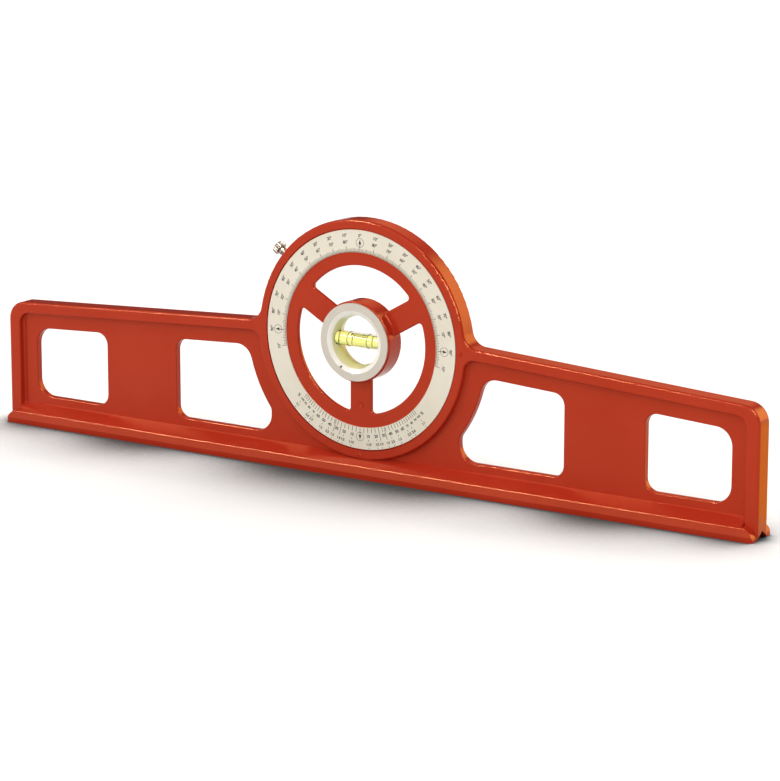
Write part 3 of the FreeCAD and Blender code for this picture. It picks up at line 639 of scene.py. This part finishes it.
# the round mark that the mould leaves on the lower spoke
def makeCastRing():
    bpy.ops.object.select_all(action="DESELECT")
    bpy.ops.mesh.primitive_cylinder_add(
        vertices=40, radius=castRing["size"], depth=castRing["height"] * 2,
        location=(0, discFace, dialHeight - castRing["radius"]), rotation=(pi / 2, 0, 0),
    )
    rim = bpy.context.active_object
    settle(rim)
    pickFaces(rim, (0, -1, 0))
    bpy.ops.mesh.inset(thickness=castRing["wall"], depth=0)
    bpy.ops.transform.translate(value=(0, castRing["dip"], 0))
    bpy.ops.object.mode_set(mode="OBJECT")
    bevelAll(rim, castRing["soft"], 3)
    pick(rim)
    bpy.ops.object.shade_smooth_by_angle(angle=radians(50))
    rim.name = "cast_ring"
    finishPiece(rim, "wheel", redEnamel)


makeCastPointers()
makeCastRing()
print("level: cast marks made")

clampCollar = {
    "radius": 0.0029,
    "length": 0.0034,
    "step": 0.0005,
    "stepLength": 0.0007,
    "bevel": 0.0003,
}


# the stepped collar under the clamp screw's head
def makeClampCollar():
    joints = frame["record"]["behaviour"]["joints"]
    joint = next(joint for joint in joints if joint["name"] == "clamp_turn")
    axis = Vector(joint["axis"]).normalized()
    head = Vector(joint["pos_m"])
    body = clampCollar["length"] - clampCollar["stepLength"]
    bpy.ops.object.select_all(action="DESELECT")
    bpy.ops.mesh.primitive_cylinder_add(
        vertices=48, radius=clampCollar["radius"], depth=body,
        location=head - axis * body / 2, rotation=axis.to_track_quat("Z", "Y").to_euler(),
    )
    collar = bpy.context.active_object
    settle(collar)
    pickFaces(collar, -axis)
    bpy.ops.mesh.inset(thickness=clampCollar["step"], depth=0)
    step = -axis * clampCollar["stepLength"]
    bpy.ops.mesh.extrude_region_move(TRANSFORM_OT_translate={"value": step})
    bpy.ops.object.mode_set(mode="OBJECT")
    bevelAll(collar, clampCollar["bevel"], 3)
    pick(collar)
    bpy.ops.object.shade_smooth_by_angle(angle=radians(35))
    collar.name = "clamp_collar"
    finishPiece(collar, "clamp", platedScrew)


makeClampCollar()
print("level: clamp collar made")

retainerScrew = {
    "circle": 0.0655,
    "places": (0, 90, 180, 270),
    "head": 0.0027,
    "headHeight": 0.0009,
    "shank": 0.00145,
    "recess": (0.0030, 0.0007),
    "recessDepth": 0.0006,
    "bevel": 0.00025,
}


# the retaining ring's screws, with a cross recess in each head
def makeRetainerScrews():
    screwLow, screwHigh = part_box("retaining_screws")
    seat = screwHigh.y - retainerScrew["headHeight"]
    height = dialHeight + retainerScrew["circle"]
    bpy.ops.object.select_all(action="DESELECT")
    bpy.ops.mesh.primitive_cylinder_add(
        vertices=48, radius=retainerScrew["head"], depth=retainerScrew["headHeight"],
        location=(0, (seat + screwHigh.y) / 2, height), rotation=(pi / 2, 0, 0),
    )
    head = bpy.context.active_object
    settle(head)
    for long, short in (retainerScrew["recess"], retainerScrew["recess"][::-1]):
        bpy.ops.object.select_all(action="DESELECT")
        bpy.ops.mesh.primitive_cube_add(size=1, location=(0, screwHigh.y, height))
        cutter = bpy.context.active_object
        cutter.scale = (long, retainerScrew["recessDepth"] * 2, short)
        settle(cutter)
        pick(head)
        cut = head.modifiers.new("recess", "BOOLEAN")
        cut.operation = "DIFFERENCE"
        cut.object = cutter
        bpy.ops.object.modifier_apply(modifier=cut.name)
        bpy.data.objects.remove(cutter)
    bevelAll(head, retainerScrew["bevel"], 3, 60)
    bpy.ops.object.select_all(action="DESELECT")
    bpy.ops.mesh.primitive_cylinder_add(
        vertices=32, radius=retainerScrew["shank"], depth=seat - screwLow.y,
        location=(0, (screwLow.y + seat) / 2, height), rotation=(pi / 2, 0, 0),
    )
    shank = bpy.context.active_object
    settle(shank)
    bevelAll(shank, retainerScrew["bevel"])
    screw = joinAll([head, shank], "retainerScrew")
    screws = [copyTurned(screw, degrees) for degrees in retainerScrew["places"]]
    bpy.data.objects.remove(screw)
    whole = joinAll(screws, "retainer_screws")
    pick(whole)
    bpy.ops.object.shade_smooth_by_angle(angle=radians(35))
    finishPiece(whole, "wheel", zincSteel)
    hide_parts("retaining_screws")


makeRetainerScrews()
print("level: retainer screws made")

liquid = {
    "edge": 0.0005,
    "dish": 0.0003,
    "dishShare": 0.45,  # of the radius
    "bubbleLength": 0.0134,
    "bubbleWidth": 0.0046,
    "bubbleHeight": 0.0026,
    "bubbleEnds": 0.0052,
    "bubbleGap": 0.0001,
}


# the liquid fills the bore, with dished ends against the plugs
def makeLiquid():
    bpy.ops.object.select_all(action="DESELECT")
    bpy.ops.mesh.primitive_cylinder_add(
        vertices=96, radius=vialBore, depth=fluidHigh.x - fluidLow.x,
        location=(0, vialMiddle, dialHeight), rotation=(0, pi / 2, 0),
    )
    fluid = bpy.context.active_object
    settle(fluid)
    for side in (-1, 1):
        pickFaces(fluid, (side, 0, 0))
        bpy.ops.mesh.inset(thickness=vialBore * liquid["dishShare"], depth=0)
        bpy.ops.transform.translate(value=(-side * liquid["dish"], 0, 0))
        bpy.ops.object.mode_set(mode="OBJECT")
    bevelAll(fluid, liquid["edge"], 3, 50)
    pick(fluid)
    bpy.ops.object.shade_smooth_by_angle(angle=radians(40))
    fluid.name = "liquid"
    finishPiece(fluid, "wheel", yellowLiquid)
    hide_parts("vial_fluid")


# a ball is drawn out to a bubble whose top follows the vial's bore
def makeAirBubble():
    middle = (0, vialMiddle, dialHeight + vialBore - liquid["bubbleGap"] - liquid["bubbleHeight"] / 2)
    drawn = (liquid["bubbleLength"] - liquid["bubbleEnds"]) / 2
    bpy.ops.object.select_all(action="DESELECT")
    bpy.ops.mesh.primitive_uv_sphere_add(
        segments=64, ring_count=32, radius=0.5, rotation=(0, pi / 2, 0), location=middle
    )
    air = bpy.context.active_object
    settle(air)
    bpy.ops.object.mode_set(mode="EDIT")
    bpy.ops.mesh.select_all(action="SELECT")
    bpy.ops.transform.resize(
        value=(liquid["bubbleEnds"], liquid["bubbleWidth"], liquid["bubbleHeight"]),
        center_override=middle,
    )
    bpy.ops.object.mode_set(mode="OBJECT")
    for side in (-1, 1):
        bpy.ops.object.mode_set(mode="EDIT")
        bpy.ops.mesh.select_mode(type="VERT")
        bpy.ops.mesh.select_all(action="DESELECT")
        bpy.ops.object.mode_set(mode="OBJECT")
        for vertex in air.data.vertices:
            vertex.select = vertex.co.x * side > liquid["bubbleEnds"] * 0.02
        bpy.ops.object.mode_set(mode="EDIT")
        bpy.ops.transform.translate(value=(side * drawn, 0, 0))
        bpy.ops.object.mode_set(mode="OBJECT")
    bpy.ops.object.shade_smooth()
    air.name = "air_bubble"
    finishPiece(air, "bubble", bubbleSkin)
    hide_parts("bubble")


makeLiquid()
makeAirBubble()
print("level: liquid and bubble made")

studio = {
    "floorSize": 30.0,
    "paper": 0.29,
    "paperSeen": 0.38,  # as the camera, metal and glass see it
    "warm": (0.70, 0.42, 0.04, 1),  # what lies behind on the right, as gloss shows it
    "warmAlong": (1, -0.64, 0),
    "warmFrom": (0.17, 0.24),
    "warmBehind": (-0.02, 0.06),
    "paintedShadowReach": 0.13,  # reach of the painted shadow, which darkens the paper where the object is near
    # painted shadow: where ambient occlusion falls between these, the paper darkens towards the tone
    # below
    "paintedShadowRange": (0.52, 0.97),
    "paintedShadowTone": (0.140, 0.162, 0.170, 1),
    "sky": 0.36,
    "skyInGloss": 0.05,
    "lobes": (  # soft patches of light on the sky
        {  # main soft light
            "azimuth": -25, "height": 22, "spread": 60, "strength": 1.72,
            "mirrored": 1.0, "colour": (1.0, 0.99, 0.97),
        },
        {  # over the foot's slope
            "azimuth": -72, "height": 55, "spread": 15, "strength": 4.0,
            "mirrored": 1.4, "colour": (1.0, 0.55, 0.28),
        },
        {  # behind on the right
            "azimuth": 150, "height": 18, "spread": 30, "strength": 2.6,
            "mirrored": 2.4, "colour": (1.0, 0.50, 0.14),
        },
        {  # on the right
            "azimuth": 78, "height": 14, "spread": 46, "strength": 0.9,
            "mirrored": 1.0, "colour": (1.0, 0.80, 0.60),
        },
        {  # bright lines along edges that face right
            "azimuth": 40, "height": 46, "spread": 24, "strength": 0.3,
            "mirrored": 85.0, "colour": (1.0, 0.97, 0.92),
        },
        {  # and along edges that face up
            "azimuth": -41, "height": 37, "spread": 9, "strength": 0.3,
            "mirrored": 340.0, "colour": (1.0, 0.97, 0.92),
        },
        {  # over the arm's top
            "azimuth": -158, "height": 30, "spread": 24, "strength": 0.3,
            "mirrored": 5.0, "colour": (1.0, 0.28, 0.12),
        },
    ),
    "backLight": {"strength": 8.4, "spread": 78, "azimuth": 176, "height": 56},
}


def addProduct(tree, first, second):
    product = tree.nodes.new("ShaderNodeMath")
    product.operation = "MULTIPLY"
    tree.links.new(first, product.inputs[0])
    tree.links.new(second, product.inputs[1])
    return product.outputs["Value"]


def addAlong(tree, place, direction):
    along = tree.nodes.new("ShaderNodeVectorMath")
    along.operation = "DOT_PRODUCT"
    along.inputs[1].default_value = direction
    tree.links.new(place, along.inputs[0])
    return along.outputs["Value"]


# 1 for a ray from the camera or through glass, and also for a mirrored one where asked
def addSeen(tree, mirrored):
    light = tree.nodes.new("ShaderNodeLightPath")
    either = tree.nodes.new("ShaderNodeMath")
    either.operation = "MAXIMUM"
    tree.links.new(light.outputs["Is Camera Ray"], either.inputs[0])
    tree.links.new(light.outputs["Is Transmission Ray"], either.inputs[1])
    if not mirrored:
        return either.outputs["Value"]
    both = tree.nodes.new("ShaderNodeMath")
    both.operation = "MAXIMUM"
    tree.links.new(either.outputs["Value"], both.inputs[0])
    tree.links.new(light.outputs["Is Glossy Ray"], both.inputs[1])
    return both.outputs["Value"]


# paper that is white to the camera, keeps the back light's shadow, and has a painted shadow from
# ambient occlusion near the object
def makeFloor():
    bpy.ops.object.select_all(action="DESELECT")
    bpy.ops.mesh.primitive_plane_add(size=studio["floorSize"], location=(0, 0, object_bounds()[0].z))
    floor = bpy.context.active_object
    floor.name = "studioFloor"
    material = bpy.data.materials.new("studioPaper")
    material.use_nodes = True
    tree = material.node_tree
    tree.nodes.clear()
    output = tree.nodes.new("ShaderNodeOutputMaterial")
    paper = tree.nodes.new("ShaderNodeBsdfDiffuse")
    tone = addRange(tree, addSeen(tree, True), studio["paper"], studio["paperSeen"], 0.0, 1.0)
    # painted shadow: ambient occlusion darkens the paper's colour near the object
    around = tree.nodes.new("ShaderNodeAmbientOcclusion")
    around.inputs["Distance"].default_value = studio["paintedShadowReach"]
    paintedShadowRange = addRange(tree, around.outputs["AO"], 0.0, 1.0, *studio["paintedShadowRange"])
    paintedShadowRange.node.interpolation_type = "SMOOTHSTEP"
    shaded = tree.nodes.new("ShaderNodeVectorMath")
    shaded.operation = "SCALE"
    shade = addRamp(tree, paintedShadowRange, [(0.0, studio["paintedShadowTone"]), (1.0, (1, 1, 1, 1))])
    tree.links.new(shade, shaded.inputs[0])
    tree.links.new(tone, shaded.inputs["Scale"])
    spot = tree.nodes.new("ShaderNodeTexCoord").outputs["Object"]
    right = addRange(tree, addAlong(tree, spot, studio["warmAlong"]), 0.0, 1.0, *studio["warmFrom"])
    behind = addRange(tree, addAlong(tree, spot, (0, 1, 0)), 0.0, 1.0, *studio["warmBehind"])
    glossy = tree.nodes.new("ShaderNodeLightPath").outputs["Is Glossy Ray"]
    share = addProduct(tree, addProduct(tree, right, behind), glossy)
    blend = tree.nodes.new("ShaderNodeMix")
    blend.data_type = "RGBA"
    tree.links.new(share, blend.inputs["Factor"])
    tree.links.new(shaded.outputs["Vector"], blend.inputs["A"])
    blend.inputs["B"].default_value = studio["warm"]
    tree.links.new(blend.outputs["Result"], paper.inputs["Color"])
    tree.links.new(paper.outputs["BSDF"], output.inputs["Surface"])
    floor.data.materials.append(material)
    floor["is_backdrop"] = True
    return floor


# azimuth 0 lies in front of the level, and 90 on its right
def towards(azimuth, height):
    turn, rise = radians(azimuth), radians(height)
    return Vector((sin(turn) * cos(rise), -cos(turn) * cos(rise), sin(rise)))


# one soft patch of light, in gloss as many times brighter as mirrored says
def addLobe(tree, direction, lobe):
    facing = addAlong(tree, direction, towards(lobe["azimuth"], lobe["height"]))
    edge = cos(radians(lobe["spread"]))
    share = addRange(tree, facing, 0.0, lobe["strength"], edge, 1.0)
    share.node.interpolation_type = "SMOOTHSTEP"
    glossy = tree.nodes.new("ShaderNodeLightPath").outputs["Is Glossy Ray"]
    gain = addRange(tree, glossy, 1.0, lobe["mirrored"], 0.0, 1.0)
    patch = tree.nodes.new("ShaderNodeVectorMath")
    patch.operation = "SCALE"
    patch.inputs[0].default_value = lobe["colour"]
    tree.links.new(addProduct(tree, share, gain), patch.inputs["Scale"])
    return patch.outputs["Vector"]


# white to the camera and through glass; the object is lit by an even sky and soft patches
def makeSky():
    world = bpy.data.worlds.new("studioSky")
    bpy.context.scene.world = world
    world.use_nodes = True
    tree = world.node_tree
    back = tree.nodes["Background"]
    direction = tree.nodes.new("ShaderNodeTexCoord").outputs["Generated"]
    glossy = tree.nodes.new("ShaderNodeLightPath").outputs["Is Glossy Ray"]
    total = addRange(tree, glossy, studio["sky"], studio["skyInGloss"], 0.0, 1.0)
    for lobe in studio["lobes"]:
        both = tree.nodes.new("ShaderNodeVectorMath")
        both.operation = "ADD"
        tree.links.new(total, both.inputs[0])
        tree.links.new(addLobe(tree, direction, lobe), both.inputs[1])
        total = both.outputs["Vector"]
    blend = tree.nodes.new("ShaderNodeMix")
    blend.data_type = "RGBA"
    tree.links.new(addSeen(tree, False), blend.inputs["Factor"])
    tree.links.new(total, blend.inputs["A"])
    blend.inputs["B"].default_value = (1, 1, 1, 1)
    tree.links.new(blend.outputs["Result"], back.inputs["Color"])


# the light behind the object draws its soft shadow on the paper, and falls on nothing else
def makeBackLight(floor):
    light = studio["backLight"]
    bpy.ops.object.select_all(action="DESELECT")
    bpy.ops.object.light_add(type="SUN")
    lamp = bpy.context.active_object
    lamp.name = "backLight"
    lamp.data.energy = light["strength"]
    lamp.data.angle = radians(light["spread"])
    lamp.rotation_mode = "QUATERNION"
    lamp.rotation_quaternion = towards(light["azimuth"], light["height"]).to_track_quat("Z", "Y")
    paperOnly = bpy.data.collections.new("paperOnly")
    paperOnly.objects.link(floor)
    lamp.light_linking.receiver_collection = paperOnly


photoView = {  # the photograph's place and angle, in millimetres, degrees and metres
    "lens": 164.57,
    "sensor": 36.0,
    "yaw": 32.690,
    "pitch": 13.277,
    "roll": 0.0695,
    "aim": (0.01951, 0.0, 0.06105),
    "distance": 2.3976,
}


def makeCamera():
    bpy.ops.object.select_all(action="DESELECT")
    bpy.ops.object.camera_add()
    camera = bpy.context.active_object
    camera.data.lens = photoView["lens"]
    camera.data.sensor_width = photoView["sensor"]
    camera.data.clip_end = 100
    back = towards(photoView["yaw"], photoView["pitch"])
    camera.location = Vector(photoView["aim"]) + back * photoView["distance"]
    camera.rotation_mode = "QUATERNION"
    level = (-back).to_track_quat("-Z", "Y")
    roll = Matrix.Rotation(radians(photoView["roll"]), 4, "Z").to_quaternion()
    camera.rotation_quaternion = level @ roll
    bpy.context.scene.camera = camera


studioFloor = makeFloor()
makeSky()
makeBackLight(studioFloor)
makeCamera()
bpy.context.scene.view_settings.view_transform = "Standard"
print("level: studio made")
